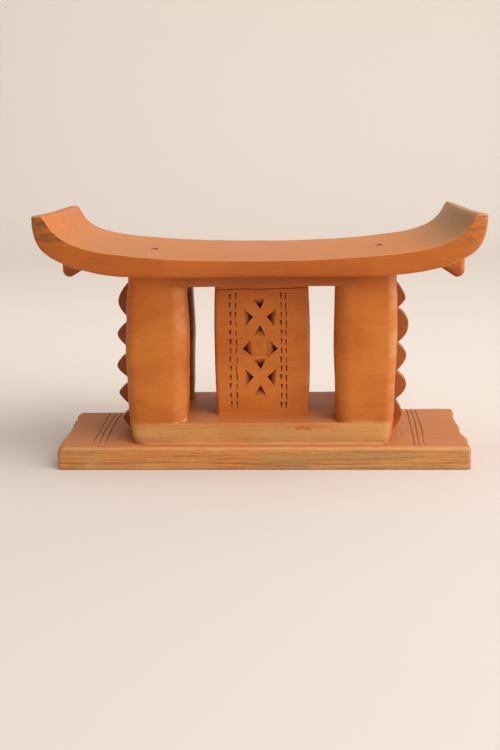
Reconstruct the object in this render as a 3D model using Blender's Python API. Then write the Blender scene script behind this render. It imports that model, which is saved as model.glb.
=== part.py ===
"""A stool-shaped headrest of the Asante kind: a curved seat on four posts, a carved column and a base.

The real object is cut from one block of wood. It is modelled here as one solid for each stretch that
the carver worked as a separate form, and the solids meet at the carver's own shoulder lines.

Units are metres and +Z is up. The front faces -Y, and the origin is on the underside, below the seat's middle.
"""

from math import cos, pi, sin

import bmesh
import bpy
from mathutils import Vector

# Driving dimensions
GAP = 0.0003

BASE_LENGTH = 0.350
BASE_FRONT_Y = -0.06325
# The board is deeper at its right end: its back edge isn't parallel to its front edge.
BASE_BACK_LEFT_Y = 0.0540
BASE_BACK_RIGHT_Y = 0.0665
BASE_THICKNESS = 0.020
BASE_EDGE_ROUNDING = 0.0025

# The trunk is everything between the base and the seat. The carver set it a little off the base's middle.
TRUNK_X = -0.001
TRUNK_Y = 0.003
TRUNK_DEPTH = 0.114

PLINTH_LENGTH = 0.223
PLINTH_HEIGHT = 0.018
PLINTH_EDGE_ROUNDING = 0.0012

RAIL_LENGTH = 0.222
RAIL_HEIGHT = 0.0098

POST_INNER_X = 0.0625
POST_OUTER_X = 0.1115
POST_DEPTH = 0.030
POST_BULGE = 0.0020
POST_CORNER_RADIUS = 0.010

COLUMN_WIDTH = 0.0800
COLUMN_DEPTH = 0.060
COLUMN_BULGE = 0.0010
COLUMN_CORNER_RADIUS = 0.0030

FRET_THICKNESS = 0.012
FRET_INNER_X = 0.088
FRET_ROOT_X = 0.1185
FRET_LOBE_HEIGHT = 0.0075
FRET_LOBES = 5
FRET_LOBE_BLUNTNESS = 0.8

SEAT_DEPTH = 0.140
SEAT_UNDERSIDE_Z = 0.1646
SEAT_END_HOLLOW = 0.004
SEAT_BACK_SHORTENING = 0.005

LUG_THICKNESS = 0.014
LUG_OUTER_X = 0.173
LUG_INNER_X = 0.149
LUG_LOWEST_Z = 0.1565
LUG_TIP_RADIUS = 0.0065
LUG_TIP_TURN = 0.70 * pi
LUG_CLEARANCE = 0.0007

POCKET_DEPTH = 0.006
POCKET_LIP = 0.0008
SEAT_NOTCH_SIZE = 0.008
# The two notches in the seat's top: x and y of the middle, and the height of the floor
SEAT_NOTCHES = ((0.099, -0.008, 0.1775), (-0.092, -0.015, 0.1800))

# Heights that follow from them
PLINTH_TOP_Z = BASE_THICKNESS + PLINTH_HEIGHT
RAIL_BOTTOM_Z = SEAT_UNDERSIDE_Z - RAIL_HEIGHT
POST_FOOT_Z = PLINTH_TOP_Z + GAP
POST_HEAD_Z = RAIL_BOTTOM_Z - GAP
TRUNK_FRONT_Y = TRUNK_Y - TRUNK_DEPTH / 2
TRUNK_BACK_Y = TRUNK_Y + TRUNK_DEPTH / 2
COLUMN_FRONT_Y = TRUNK_Y - COLUMN_DEPTH / 2

# The seat's outline, seen from the front, from the middle out to the tip: x and z of each point
SEAT_TOP_OUTLINE = (
    (0.000, 0.1785),
    (0.060, 0.1797),
    (0.106, 0.1832),
    (0.135, 0.1877),
    (0.154, 0.1945),
    (0.166, 0.2030),
    (0.1745, 0.2147),
)
SEAT_UNDERSIDE_OUTLINE = (
    (0.000, SEAT_UNDERSIDE_Z),
    (0.100, SEAT_UNDERSIDE_Z + 0.0002),
    (0.125, 0.1668),
    (0.145, 0.1708),
    (0.162, 0.1772),
    (0.174, 0.1845),
    (0.1805, 0.1930),
    (0.1835, 0.2040),
    (0.1840, 0.2142),
)
SEAT_TIP_X, SEAT_TIP_Z = SEAT_UNDERSIDE_OUTLINE[-1]

# The column's carved pattern: two crosses of four triangles and, between them, a square with two wings
PATTERN_X = -0.0027
CROSS_CENTRES_Z = (0.1245, 0.0720)
SQUARE_CENTRE_Z = 0.0975
CROSS_FLAT_UP = 0.0160
CROSS_POINT_UP = 0.0070
CROSS_FLAT_SIDE = 0.0130
CROSS_POINT_SIDE = 0.0057
CROSS_WIDTH_UP = 0.0104
CROSS_WIDTH_SIDE = 0.0146
WING_FLAT = 0.0077
WING_POINT = 0.0152
WING_WIDTH = 0.0140

STAINED_WOOD = (0.50, 0.19, 0.06, 1.0)
PALE_WOOD = (0.60, 0.30, 0.12, 1.0)
WOOD_ROUGHNESS = 0.5

# How finely round shapes are divided
SHARP_ANGLE = 0.6
BEVEL_SEGMENTS = 2
CORNER_STEPS = 4
CURVE_STEPS = 4
BARREL_LEVELS = 8
FRET_STEPS_PER_LOBE = 8
SEAT_STATIONS = 12
LUG_TIP_STEPS = 8
LUG_TOP_STEPS = 14


def clear_scene():
    for scene_object in list(bpy.data.objects):
        bpy.data.objects.remove(scene_object, do_unlink=True)


def wood_material(name, colour):
    material = bpy.data.materials.new(name)
    material.use_nodes = True
    shader = material.node_tree.nodes["Principled BSDF"]
    shader.inputs["Base Color"].default_value = colour
    shader.inputs["Roughness"].default_value = WOOD_ROUGHNESS
    shader.inputs["Metallic"].default_value = 0.0
    return material


def add_object(name, mesh_builder, colour=STAINED_WOOD):
    """Turn a bmesh into a named object with a material of its own."""
    bmesh.ops.recalc_face_normals(mesh_builder, faces=mesh_builder.faces)
    mesh = bpy.data.meshes.new(name)
    mesh_builder.to_mesh(mesh)
    mesh_builder.free()
    mesh.shade_smooth()
    mesh.set_sharp_from_angle(angle=SHARP_ANGLE)
    new_object = bpy.data.objects.new(name, mesh)
    new_object.data.materials.append(wood_material(name + "_wood", colour))
    bpy.context.collection.objects.link(new_object)
    return new_object


def add_bevel(target, width):
    bevel = target.modifiers.new("edge_rounding", "BEVEL")
    bevel.width = width
    bevel.segments = BEVEL_SEGMENTS
    bevel.limit_method = "ANGLE"


def cut_with(target, cutter_builder, cutter_name):
    """Cut the closed bodies of a bmesh out of a piece."""
    cutter = add_object(cutter_name, cutter_builder)
    cutter.hide_render = True
    cutter.display_type = "WIRE"
    boolean = target.modifiers.new(cutter_name, "BOOLEAN")
    boolean.operation = "DIFFERENCE"
    boolean.solver = "EXACT"
    boolean.object = cutter


def loft(rings):
    """Join rings of equal length into one closed body with flat ends."""
    mesh_builder = bmesh.new()
    vertex_rings = [[mesh_builder.verts.new(point) for point in ring] for ring in rings]
    count = len(vertex_rings[0])
    for lower, upper in zip(vertex_rings, vertex_rings[1:]):
        for index in range(count):
            following = (index + 1) % count
            mesh_builder.faces.new((lower[index], lower[following], upper[following], upper[index]))
    mesh_builder.faces.new(vertex_rings[0])
    mesh_builder.faces.new(vertex_rings[-1])
    return mesh_builder


def rounded_rectangle(low, high, radius):
    """The plan of a post: a rectangle between two corners, with each corner an arc."""
    corners = (
        (high[0] - radius, high[1] - radius, 0.0),
        (low[0] + radius, high[1] - radius, pi / 2),
        (low[0] + radius, low[1] + radius, pi),
        (high[0] - radius, low[1] + radius, 1.5 * pi),
    )
    points = []
    for centre_x, centre_y, start in corners:
        for step in range(CORNER_STEPS + 1):
            angle = start + step / CORNER_STEPS * pi / 2
            points.append((centre_x + radius * cos(angle), centre_y + radius * sin(angle)))
    return points


def barrel_block(low, high, radius, bulge):
    """An upright block whose sides swell by the bulge at half height."""
    rings = []
    for level in range(BARREL_LEVELS + 1):
        height = level / BARREL_LEVELS
        swell = bulge * sin(pi * height)
        z = low[2] + (high[2] - low[2]) * height
        plan = rounded_rectangle((low[0] - swell, low[1]), (high[0] + swell, high[1]), radius)
        rings.append([(x, y, z) for x, y in plan])
    return loft(rings)


def box(low, high):
    return loft([[(low[0], low[1], z), (high[0], low[1], z), (high[0], high[1], z), (low[0], high[1], z)]
                 for z in (low[2], high[2])])


def curve_through(points):
    """Points on a smooth curve that passes through every given point, however they are spaced."""
    knots = [Vector(point) for point in points]
    knots.insert(0, 2 * knots[0] - knots[1])
    knots.append(2 * knots[-1] - knots[-2])
    result = []
    for before, start, end, after in zip(knots, knots[1:], knots[2:], knots[3:]):
        entry = (start - before).length ** 0.5
        span = (end - start).length ** 0.5
        leave = (after - end).length ** 0.5
        step_between = (end - start) / span
        start_slope = ((start - before) / entry - (end - before) / (entry + span) + step_between) * span
        end_slope = (step_between - (after - start) / (span + leave) + (after - end) / leave) * span
        for step in range(CURVE_STEPS):
            t = step / CURVE_STEPS
            result.append((2 * t ** 3 - 3 * t ** 2 + 1) * start + (t ** 3 - 2 * t ** 2 + t) * start_slope
                          + (3 * t ** 2 - 2 * t ** 3) * end + (t ** 3 - t ** 2) * end_slope)
    result.append(knots[-2])
    return result


def seat_reach(y):
    """How far the seat's ends reach at a depth, as a share of the front tips' reach.

    Each end is hollowed between its two corners, and the back corners are set in.
    """
    across = y / (SEAT_DEPTH / 2)
    hollow = SEAT_END_HOLLOW * (1 - across ** 2)
    set_in = SEAT_BACK_SHORTENING * (1 + across) / 2
    return 1 - (hollow + set_in) / SEAT_TIP_X


def seat_underside_z(x, y):
    """Height of the seat's underside, read from its smooth outline."""
    outline = curve_through(SEAT_UNDERSIDE_OUTLINE)
    unstretched = abs(x) / seat_reach(y)
    for start, end in zip(outline, outline[1:]):
        if start.x <= unstretched <= end.x:
            share = (unstretched - start.x) / (end.x - start.x)
            return start.y + (end.y - start.y) * share
    return outline[-1].y


def chip_pocket(mesh_builder, face_y, flat, point, width):
    """A wedge that leaves a triangular chip: shallow at its flat side and deepest at its point.

    flat and point are (x, z): the middle of the flat side, and the corner opposite it.
    """
    flat = Vector(flat)
    point = Vector(point)
    along = (point - flat).normalized()
    sideways = Vector((-along.y, along.x)) * width / 2
    first = flat + sideways
    second = flat - sideways
    outside = face_y - POCKET_LIP
    outer = [mesh_builder.verts.new((corner.x, outside, corner.y)) for corner in (first, second, point)]
    lip = [mesh_builder.verts.new((corner.x, face_y + POCKET_LIP, corner.y)) for corner in (first, second)]
    deepest = mesh_builder.verts.new((point.x, face_y + POCKET_DEPTH, point.y))
    mesh_builder.faces.new(outer)
    mesh_builder.faces.new((lip[1], lip[0], deepest))
    mesh_builder.faces.new((outer[1], outer[0], lip[0], lip[1]))
    mesh_builder.faces.new((outer[2], outer[1], lip[1], deepest))
    mesh_builder.faces.new((outer[0], outer[2], deepest, lip[0]))


def column_pockets():
    mesh_builder = bmesh.new()
    for centre_z in CROSS_CENTRES_Z:
        for side in (-1, 1):
            chip_pocket(mesh_builder, COLUMN_FRONT_Y, (PATTERN_X, centre_z + side * CROSS_FLAT_UP),
                        (PATTERN_X, centre_z + side * CROSS_POINT_UP), CROSS_WIDTH_UP)
            chip_pocket(mesh_builder, COLUMN_FRONT_Y, (PATTERN_X + side * CROSS_FLAT_SIDE, centre_z),
                        (PATTERN_X + side * CROSS_POINT_SIDE, centre_z), CROSS_WIDTH_SIDE)
    for side in (-1, 1):
        chip_pocket(mesh_builder, COLUMN_FRONT_Y, (PATTERN_X + side * WING_FLAT, SQUARE_CENTRE_Z),
                    (PATTERN_X + side * WING_POINT, SQUARE_CENTRE_Z), WING_WIDTH)
    return mesh_builder


def build_base_board():
    half_length = BASE_LENGTH / 2
    plan = ((-half_length, BASE_FRONT_Y), (half_length, BASE_FRONT_Y),
            (half_length, BASE_BACK_RIGHT_Y), (-half_length, BASE_BACK_LEFT_Y))
    board = add_object("base_board", loft([[(x, y, z) for x, y in plan] for z in (0.0, BASE_THICKNESS)]),
                       PALE_WOOD)
    add_bevel(board, BASE_EDGE_ROUNDING)


def build_plinth():
    half_length = PLINTH_LENGTH / 2
    plinth = add_object("plinth", box((TRUNK_X - half_length, TRUNK_FRONT_Y, BASE_THICKNESS + GAP),
                                      (TRUNK_X + half_length, TRUNK_BACK_Y, PLINTH_TOP_Z)), PALE_WOOD)
    add_bevel(plinth, PLINTH_EDGE_ROUNDING)


def build_seat_rail():
    half_length = RAIL_LENGTH / 2
    rail = add_object("seat_rail", box((TRUNK_X - half_length, TRUNK_FRONT_Y, RAIL_BOTTOM_Z),
                                       (TRUNK_X + half_length, TRUNK_BACK_Y, SEAT_UNDERSIDE_Z - GAP)))
    add_bevel(rail, PLINTH_EDGE_ROUNDING)


def build_posts():
    rows = (("front", TRUNK_FRONT_Y, TRUNK_FRONT_Y + POST_DEPTH),
            ("back", TRUNK_BACK_Y - POST_DEPTH, TRUNK_BACK_Y))
    for row_name, low_y, high_y in rows:
        for side_name, side in (("left", -1), ("right", 1)):
            edges = sorted((TRUNK_X + side * POST_INNER_X, TRUNK_X + side * POST_OUTER_X))
            post = barrel_block((edges[0], low_y, POST_FOOT_Z), (edges[1], high_y, POST_HEAD_Z),
                                POST_CORNER_RADIUS, POST_BULGE)
            add_object("post_%s_%s" % (row_name, side_name), post)


def build_centre_column():
    half_width = COLUMN_WIDTH / 2
    block = barrel_block((TRUNK_X - half_width, COLUMN_FRONT_Y, POST_FOOT_Z),
                         (TRUNK_X + half_width, COLUMN_FRONT_Y + COLUMN_DEPTH, POST_HEAD_Z),
                         COLUMN_CORNER_RADIUS, COLUMN_BULGE)
    column = add_object("centre_column", block)
    cut_with(column, column_pockets(), "column_pocket_cutter")


def fret_outline():
    """A fin with a scalloped outer edge. Its outer strip passes the plinth's end and stands on the base."""
    foot_z = BASE_THICKNESS + GAP
    plinth_end_x = PLINTH_LENGTH / 2 + GAP
    points = [(FRET_INNER_X, POST_FOOT_Z), (plinth_end_x, POST_FOOT_Z), (plinth_end_x, foot_z)]
    steps = FRET_LOBES * FRET_STEPS_PER_LOBE
    for step in range(steps + 1):
        height = step / steps
        lobe = abs(sin(pi * height * FRET_LOBES)) ** FRET_LOBE_BLUNTNESS
        points.append((FRET_ROOT_X + FRET_LOBE_HEIGHT * lobe, foot_z + (POST_HEAD_Z - foot_z) * height))
    points.append((FRET_INNER_X, POST_HEAD_Z))
    return points


def build_end_frets():
    for side_name, side in (("left", -1), ("right", 1)):
        rings = [[(TRUNK_X + side * x, y, z) for x, z in fret_outline()]
                 for y in (TRUNK_Y - FRET_THICKNESS / 2, TRUNK_Y + FRET_THICKNESS / 2)]
        add_object("end_fret_" + side_name, loft(rings))


def seat_ring():
    """The seat's whole outline, seen from the front: along the underside and back along the top."""
    underside = curve_through(SEAT_UNDERSIDE_OUTLINE)
    top = curve_through(SEAT_TOP_OUTLINE)
    right_half = underside + top[::-1]
    left_half = [Vector((-point.x, point.y)) for point in right_half[::-1]]
    return right_half[:-1] + left_half[:-1]


def notch_cutter():
    """Two triangular notches that are cut down into the seat's top."""
    mesh_builder = bmesh.new()
    size = SEAT_NOTCH_SIZE
    for notch_x, notch_y, floor_z in SEAT_NOTCHES:
        plan = ((notch_x - size / 2, notch_y + size / 2), (notch_x + size / 2, notch_y + size / 2),
                (notch_x, notch_y - size / 2))
        lower = [mesh_builder.verts.new((x, y, floor_z)) for x, y in plan]
        upper = [mesh_builder.verts.new((x, y, SEAT_TIP_Z)) for x, y in plan]
        mesh_builder.faces.new(lower)
        mesh_builder.faces.new(upper)
        for index in range(3):
            following = (index + 1) % 3
            mesh_builder.faces.new((lower[index], lower[following], upper[following], upper[index]))
    return mesh_builder


def build_seat():
    rings = []
    for station in range(SEAT_STATIONS + 1):
        y = SEAT_DEPTH * (station / SEAT_STATIONS - 0.5)
        reach = seat_reach(y)
        rings.append([(point.x * reach, y, point.y) for point in seat_ring()])
    seat = add_object("seat", loft(rings))
    cut_with(seat, notch_cutter(), "seat_notch_cutter")


def lug_outline():
    """A tongue under the seat's end: upright outside, round at the tip and slanted on its inner side."""
    centre_x = LUG_OUTER_X - LUG_TIP_RADIUS
    centre_z = LUG_LOWEST_Z + LUG_TIP_RADIUS
    tip = []
    for step in range(LUG_TIP_STEPS + 1):
        angle = -LUG_TIP_TURN * step / LUG_TIP_STEPS
        tip.append((centre_x + LUG_TIP_RADIUS * cos(angle), centre_z + LUG_TIP_RADIUS * sin(angle)))
    top = []
    for step in range(LUG_TOP_STEPS + 1):
        x = LUG_INNER_X + (LUG_OUTER_X - LUG_INNER_X) * step / LUG_TOP_STEPS
        edges = [seat_underside_z(x, TRUNK_Y + side * LUG_THICKNESS / 2) for side in (-1, 1)]
        top.append((x, min(edges) - LUG_CLEARANCE))
    return tip + top


def build_lugs():
    for side_name, side in (("left", -1), ("right", 1)):
        rings = [[(side * x, y, z) for x, z in lug_outline()]
                 for y in (TRUNK_Y - LUG_THICKNESS / 2, TRUNK_Y + LUG_THICKNESS / 2)]
        add_object("lug_" + side_name, loft(rings))


def main():
    clear_scene()
    build_base_board()
    build_plinth()
    build_posts()
    build_centre_column()
    build_end_frets()
    build_seat_rail()
    build_seat()
    build_lugs()


main()
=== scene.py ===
"""The finished look of a carved stool-shaped headrest, built piece by piece around its CAD frame.

Every piece is cut from one block, so one wood runs through all of them: its layers and fibres are laid out
in the block's own coordinates and pass from piece to piece without a break. Units are metres, +Z is up,
and the front faces -Y.
"""

import random
from math import cos, pi, radians, sin

import bmesh
import bpy
from bpy.props import FloatProperty, FloatVectorProperty, PointerProperty
from mathutils import Matrix, Vector, noise


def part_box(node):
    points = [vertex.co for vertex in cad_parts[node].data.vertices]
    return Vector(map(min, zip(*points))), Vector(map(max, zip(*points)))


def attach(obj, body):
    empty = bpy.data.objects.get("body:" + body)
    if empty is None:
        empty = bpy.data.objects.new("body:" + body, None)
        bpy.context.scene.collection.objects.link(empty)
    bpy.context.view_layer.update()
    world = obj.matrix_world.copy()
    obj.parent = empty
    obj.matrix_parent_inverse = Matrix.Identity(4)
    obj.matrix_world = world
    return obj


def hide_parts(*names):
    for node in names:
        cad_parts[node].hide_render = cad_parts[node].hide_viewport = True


bl_info = {
    "name": "Carved Headrest",
    "version": (1, 0, 0),
    "blender": (4, 5, 0),
    "location": "3D View > Sidebar > Headrest",
    "description": "Carves the pieces of a stool-shaped headrest and sets them on a plain stage",
    "category": "Object",
}

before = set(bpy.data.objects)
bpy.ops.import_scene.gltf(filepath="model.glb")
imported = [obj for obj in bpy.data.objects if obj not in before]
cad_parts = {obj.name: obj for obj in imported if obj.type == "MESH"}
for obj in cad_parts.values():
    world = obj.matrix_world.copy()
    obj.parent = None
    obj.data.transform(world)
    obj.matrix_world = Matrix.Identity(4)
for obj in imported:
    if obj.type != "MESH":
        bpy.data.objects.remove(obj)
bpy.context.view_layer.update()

# Mesh lines round a softened arris, and round each corner of a plan
ROUNDING_STEPS = 4
CORNER_STEPS = 7
# Faces that meet at more than this show a sharp edge
SHARP_ANGLE = radians(38)
# How far a piece runs into its neighbour, because all of them are one block
EMBED = 0.0012
# How far the cutting bodies stand out of the board's top
CUTTER_LIFT = 0.0008

# The pieces' boxes, read from the frame: the others are laid out around these
BASE_LOW, BASE_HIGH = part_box("base_board")
PLINTH_LOW, PLINTH_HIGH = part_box("plinth")
RAIL_LOW, RAIL_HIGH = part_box("seat_rail")
COLUMN_LOW, COLUMN_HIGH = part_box("centre_column")
SEAT_LOW, SEAT_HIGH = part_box("seat")
TRUNK_X = (PLINTH_LOW.x + PLINTH_HIGH.x) / 2

# How much shallower the base board is at its left end than at its right
BACK_EDGE_SKEW = 0.0125
# Knife grooves at each end of the board: side, innermost one's distance from the middle, pitch, lean, bow
BASE_GROOVES = ((-1, 0.1354, 0.0048, 0.0009, -0.0012), (1, 0.1266, 0.0045, 0.0044, 0.0012))
# Gouges in the board's top: start (x, y), end (x, y), width
BASE_GOUGES = (((0.1183, -0.036), (0.1190, -0.014), 0.0016), ((0.1172, -0.008), (0.1178, 0.006), 0.0014))

# Each post's outer and inner side: (height above the base's top, distance from the middle plane)
POST_SIDES = {
    "left": (((0.0, 0.1108), (0.006, 0.1130), (0.016, 0.1140), (0.042, 0.1150), (0.080, 0.1158),
              (0.115, 0.1140), (0.141, 0.1116), (0.146, 0.1112)),
             ((0.018, 0.0650), (0.035, 0.0640), (0.085, 0.0628), (0.130, 0.0636), (0.146, 0.0645))),
    "right": (((0.0, 0.1072), (0.006, 0.1092), (0.016, 0.1103), (0.042, 0.1112), (0.083, 0.1126),
               (0.120, 0.1124), (0.146, 0.1106)),
              ((0.018, 0.0617), (0.035, 0.0609), (0.088, 0.0602), (0.130, 0.0606), (0.146, 0.0615))),
}
# How much farther the back posts' inner sides stand apart than the front ones'
BACK_SET_IN = {"left": 0.0012, "right": 0.0034}

# The column's pattern: middle heights of its two stars and of the square between them
PATTERN_X = TRUNK_X - 0.0017
STAR_HEIGHTS = (0.1245, 0.0720)
SQUARE_HEIGHT = 0.0975
# Rows of chisel nicks: place along X, width of a nick's top, length of a nick
NICK_ROWS = ((-0.0280, 0.0024, 0.0057), (-0.0230, 0.0015, 0.0066), (0.0155, 0.0022, 0.0058),
             (0.0196, 0.0015, 0.0066))

# Each fret's lobes: (tip height above the base's top, tip reach, how blunt the tip is)
FRET_LOBES = {
    "left": ((0.0106, 0.1264, 1.30), (0.0330, 0.1290, 1.25), (0.0573, 0.1300, 1.45),
             (0.0857, 0.1288, 1.45), (0.1140, 0.1268, 1.60)),
    "right": ((0.0139, 0.1216, 1.25), (0.0396, 0.1250, 1.75), (0.0657, 0.1246, 1.55),
              (0.0932, 0.1258, 2.20), (0.1161, 0.1230, 1.35)),
}
# The dips between the lobes: their heights above the base's top, and their reach
FRET_ROOTS = {
    "left": (-0.0020, 0.0191, 0.0443, 0.0712, 0.0986, 0.1325),
    "right": (-0.0010, 0.0264, 0.0514, 0.0773, 0.1074, 0.1300),
}
FRET_ROOT_REACH = {"left": 0.1155, "right": 0.1150}

# The seat's outline from its middle to its tip, as shares of the seat's half length and of its height
SEAT_TOP = ((0.0, 0.282), (0.326, 0.304), (0.576, 0.371), (0.734, 0.461), (0.837, 0.597), (0.900, 0.772),
            (0.943, 1.018))
SEAT_UNDERSIDE = ((0.0, 0.0), (0.543, 0.004), (0.679, 0.044), (0.788, 0.124), (0.880, 0.251),
                  (0.946, 0.397), (0.981, 0.567), (0.997, 0.786), (1.0, 1.010))
# Notches in the seat's top: centre (x, y), width, depth
SEAT_NOTCHES = (((0.0990, -0.0080), 0.0080, 0.0055), ((-0.0920, -0.0150), 0.0080, 0.0026))

# Each lug: side, distance of its nose from the middle plane, height of its lowest point
LUGS = (("left", -1, 0.1748, 0.1562), ("right", 1, 0.1732, 0.1540))


class HeadrestCarving(bpy.types.PropertyGroup):
    """Sizes that the carver's hand and tools leave."""

    spacing: FloatProperty(name="Mesh spacing", description="Distance between mesh lines", default=0.002,
                           min=0.0008, max=0.01, precision=4, unit="LENGTH")
    unevenness: FloatProperty(name="Unevenness", description="How far a flat face strays from flat",
                              default=0.00030, min=0.0, max=0.002, precision=5, unit="LENGTH")
    post_rounding: FloatProperty(name="Post rounding", description="Radius of a post's upright edges",
                                 default=0.010, min=0.002, max=0.014, precision=4, unit="LENGTH")
    pocket_depth: FloatProperty(name="Pocket depth", description="Depth of the column's triangular pockets",
                                default=0.0060, min=0.001, max=0.01, precision=4, unit="LENGTH")
    nick_depth: FloatProperty(name="Nick depth", description="Depth of the column's small chisel nicks",
                              default=0.0016, min=0.0003, max=0.004, precision=4, unit="LENGTH")
    groove_width: FloatProperty(name="Groove width", description="Width of the grooves across the base",
                                default=0.0011, min=0.0004, max=0.004, precision=4, unit="LENGTH")


COLOUR = {"size": 4, "min": 0.0, "max": 1.0, "subtype": "COLOR"}


class HeadrestWood(bpy.types.PropertyGroup):
    """Colours of the stained wood, and of its painted shade, sheen and highlights."""

    stain: FloatVectorProperty(name="Stain", description="Colour of the stained wood",
                               default=(0.660, 0.192, 0.026, 1.0), **COLOUR)
    # Also the colour that the painted shade on the fronts below the seat blends towards
    deep_stain_and_shade: FloatVectorProperty(name="Deep stain", description="Colour where the stain has gathered",
                              default=(0.500, 0.112, 0.010, 1.0), **COLOUR)
    bare: FloatVectorProperty(name="Thin stain", description="Colour where the stain is thin",
                              default=(0.700, 0.340, 0.108, 1.0), **COLOUR)
    layer: FloatVectorProperty(name="Growth layer", description="Colour of the dark growth layers",
                               default=(0.250, 0.088, 0.024, 1.0), **COLOUR)
    # Colour of the painted highlights on the upper front edges and the posts' right-hand edges
    edge_highlight: FloatVectorProperty(name="Worn arris", description="Colour of the rubbed edges",
                              default=(0.76, 0.36, 0.16, 1.0), **COLOUR)
    raw: FloatVectorProperty(name="Raw wood", description="Colour of wood bared by a fresh chip",
                             default=(0.78, 0.52, 0.38, 1.0), **COLOUR)
    # Faces that look up turn towards this colour: partly dry worn wood, partly painted sheen
    dry_and_sheen: FloatVectorProperty(name="Dry top", description="Colour of the faces that look up, worn and dry",
                             default=(0.575, 0.228, 0.084, 1.0), **COLOUR)
    # Colour of the painted shade on the faces between the posts and on the rail under the seat
    painted_inner_shade: FloatVectorProperty(name="Inner faces", description="Colour of the faces that no hand reaches",
                               default=(0.190, 0.040, 0.007, 1.0), **COLOUR)
    olive: FloatVectorProperty(name="Olive wood", description="Colour of the olive patches and streaks",
                               default=(0.36, 0.22, 0.085, 1.0), **COLOUR)
    pocket: FloatVectorProperty(name="Pocket", description="Colour inside the column's pockets",
                                default=(0.110, 0.024, 0.007, 1.0), **COLOUR)
    nick: FloatVectorProperty(name="Nick", description="Colour inside the chisel nicks",
                              default=(0.200, 0.050, 0.011, 1.0), **COLOUR)
    groove: FloatVectorProperty(name="Groove", description="Colour inside the knife lines",
                                default=(0.480, 0.165, 0.062, 1.0), **COLOUR)
    notch: FloatVectorProperty(name="Notch", description="Colour inside the seat's notches",
                               default=(0.085, 0.028, 0.012, 1.0), **COLOUR)
    gloss: FloatProperty(name="Gloss", description="Strength of the wax's reflections", default=0.28,
                         min=0.0, max=1.0, subtype="FACTOR")
    wax: FloatProperty(name="Wax", description="Weight of the thin polished wax coat", default=0.08, min=0.0,
                       max=1.0, subtype="FACTOR")
    roughness: FloatProperty(name="Roughness", description="Roughness of the waxed surface", default=0.46,
                             min=0.1, max=1.0, subtype="FACTOR")


class HeadrestStage(bpy.types.PropertyGroup):
    """The plain stage that the headrest is shown on."""

    floor: FloatVectorProperty(name="Floor", description="Colour of the floor and backdrop",
                               default=(0.755, 0.690, 0.635, 1.0), **COLOUR)
    key_power: FloatProperty(name="Key light", description="Power of the soft light at the right",
                             default=62.0, min=0.0, unit="POWER")
    top_power: FloatProperty(name="Overhead light", description="Power of the large light overhead",
                             default=7.0, min=0.0, unit="POWER")
    backdrop_power: FloatProperty(name="Backdrop light", description="Power of the light on the backdrop",
                                  default=5.0, min=0.0, unit="POWER")
    fill: FloatProperty(name="Fill light", description="Strength of the light from all round", default=0.34,
                        min=0.0)


class Number:
    """A number that varies over a surface. Arithmetic on it adds the Math nodes."""

    def __init__(self, graph, socket):
        self.graph = graph
        self.socket = socket

    def _math(self, operation, *operands):
        return self.graph.make("ShaderNodeMath", {"operation": operation}, dict(enumerate(operands)))

    def __add__(self, other):
        return self._math("ADD", self, other)

    def __sub__(self, other):
        return self._math("SUBTRACT", self, other)

    def __rsub__(self, other):
        return self._math("SUBTRACT", other, self)

    def __mul__(self, other):
        return self._math("MULTIPLY", self, other)

    def __pow__(self, other):
        return self._math("POWER", self, other)

    __radd__ = __add__
    __rmul__ = __mul__

    def rising(self, low, high):
        """0 below low, 1 above high and smooth in between."""
        sockets = {"Value": self, "From Min": low, "From Max": high}
        return self.graph.make("ShaderNodeMapRange", {"interpolation_type": "SMOOTHSTEP"}, sockets)

    def falling(self, low, high):
        """1 below low, 0 above high and smooth in between."""
        return 1 - self.rising(low, high)


class FinishGraph:
    """Makes the nodes of one material."""

    def __init__(self, name):
        self.material = bpy.data.materials.new(name)
        self.material.use_nodes = True
        self.nodes = self.material.node_tree.nodes
        self.links = self.material.node_tree.links
        self.nodes.clear()

    def make(self, kind, settings=None, sockets=None, output=0):
        """Add a node, set it up, feed its sockets and return one of its outputs."""
        node = self.nodes.new(kind)
        for name, value in (settings or {}).items():
            setattr(node, name, value)
        for name, value in (sockets or {}).items():
            if isinstance(value, Number):
                self.links.new(value.socket, node.inputs[name])
            else:
                node.inputs[name].default_value = value
        return None if output is None else Number(self, node.outputs[output])

    def mix(self, share, first, second):
        """Blend from the first colour to the second."""
        return self.make("ShaderNodeMix", {"data_type": "RGBA"}, {0: share, 6: first, 7: second}, 2)

    def stretched_noise(self, place, stretch, detail, roughness):
        """Noise with that many hills to a metre along each axis."""
        scaled = self.make("ShaderNodeVectorMath", {"operation": "MULTIPLY"}, {0: place, 1: stretch})
        return self.make("ShaderNodeTexNoise", {"noise_dimensions": "3D"},
                         {"Vector": scaled, "Scale": 1.0, "Detail": detail, "Roughness": roughness})

    def axis(self, vector, name):
        """One of a vector's components."""
        return self.make("ShaderNodeSeparateXYZ", None, {0: vector}, name)

    def distance_to_line(self, place, start, end):
        """How far a place is from the line between two points."""
        span = Vector(end) - Vector(start)
        offset = self.make("ShaderNodeVectorMath", {"operation": "SUBTRACT"}, {0: place, 1: start})
        share = self.make("ShaderNodeVectorMath", {"operation": "DOT_PRODUCT"},
                          {0: offset, 1: span / span.length_squared}, 1)
        share = self.make("ShaderNodeMapRange", {"clamp": True}, {"Value": share})
        nearest = self.make("ShaderNodeVectorMath", {"operation": "SCALE"}, {0: span, "Scale": share})
        return self.make("ShaderNodeVectorMath", {"operation": "DISTANCE"}, {0: offset, 1: nearest}, 1)

    def finish(self, kind, sockets):
        """Make the surface shader and link it to the material's output."""
        self.make("ShaderNodeOutputMaterial", None, {"Surface": self.make(kind, None, sockets)}, None)


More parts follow.
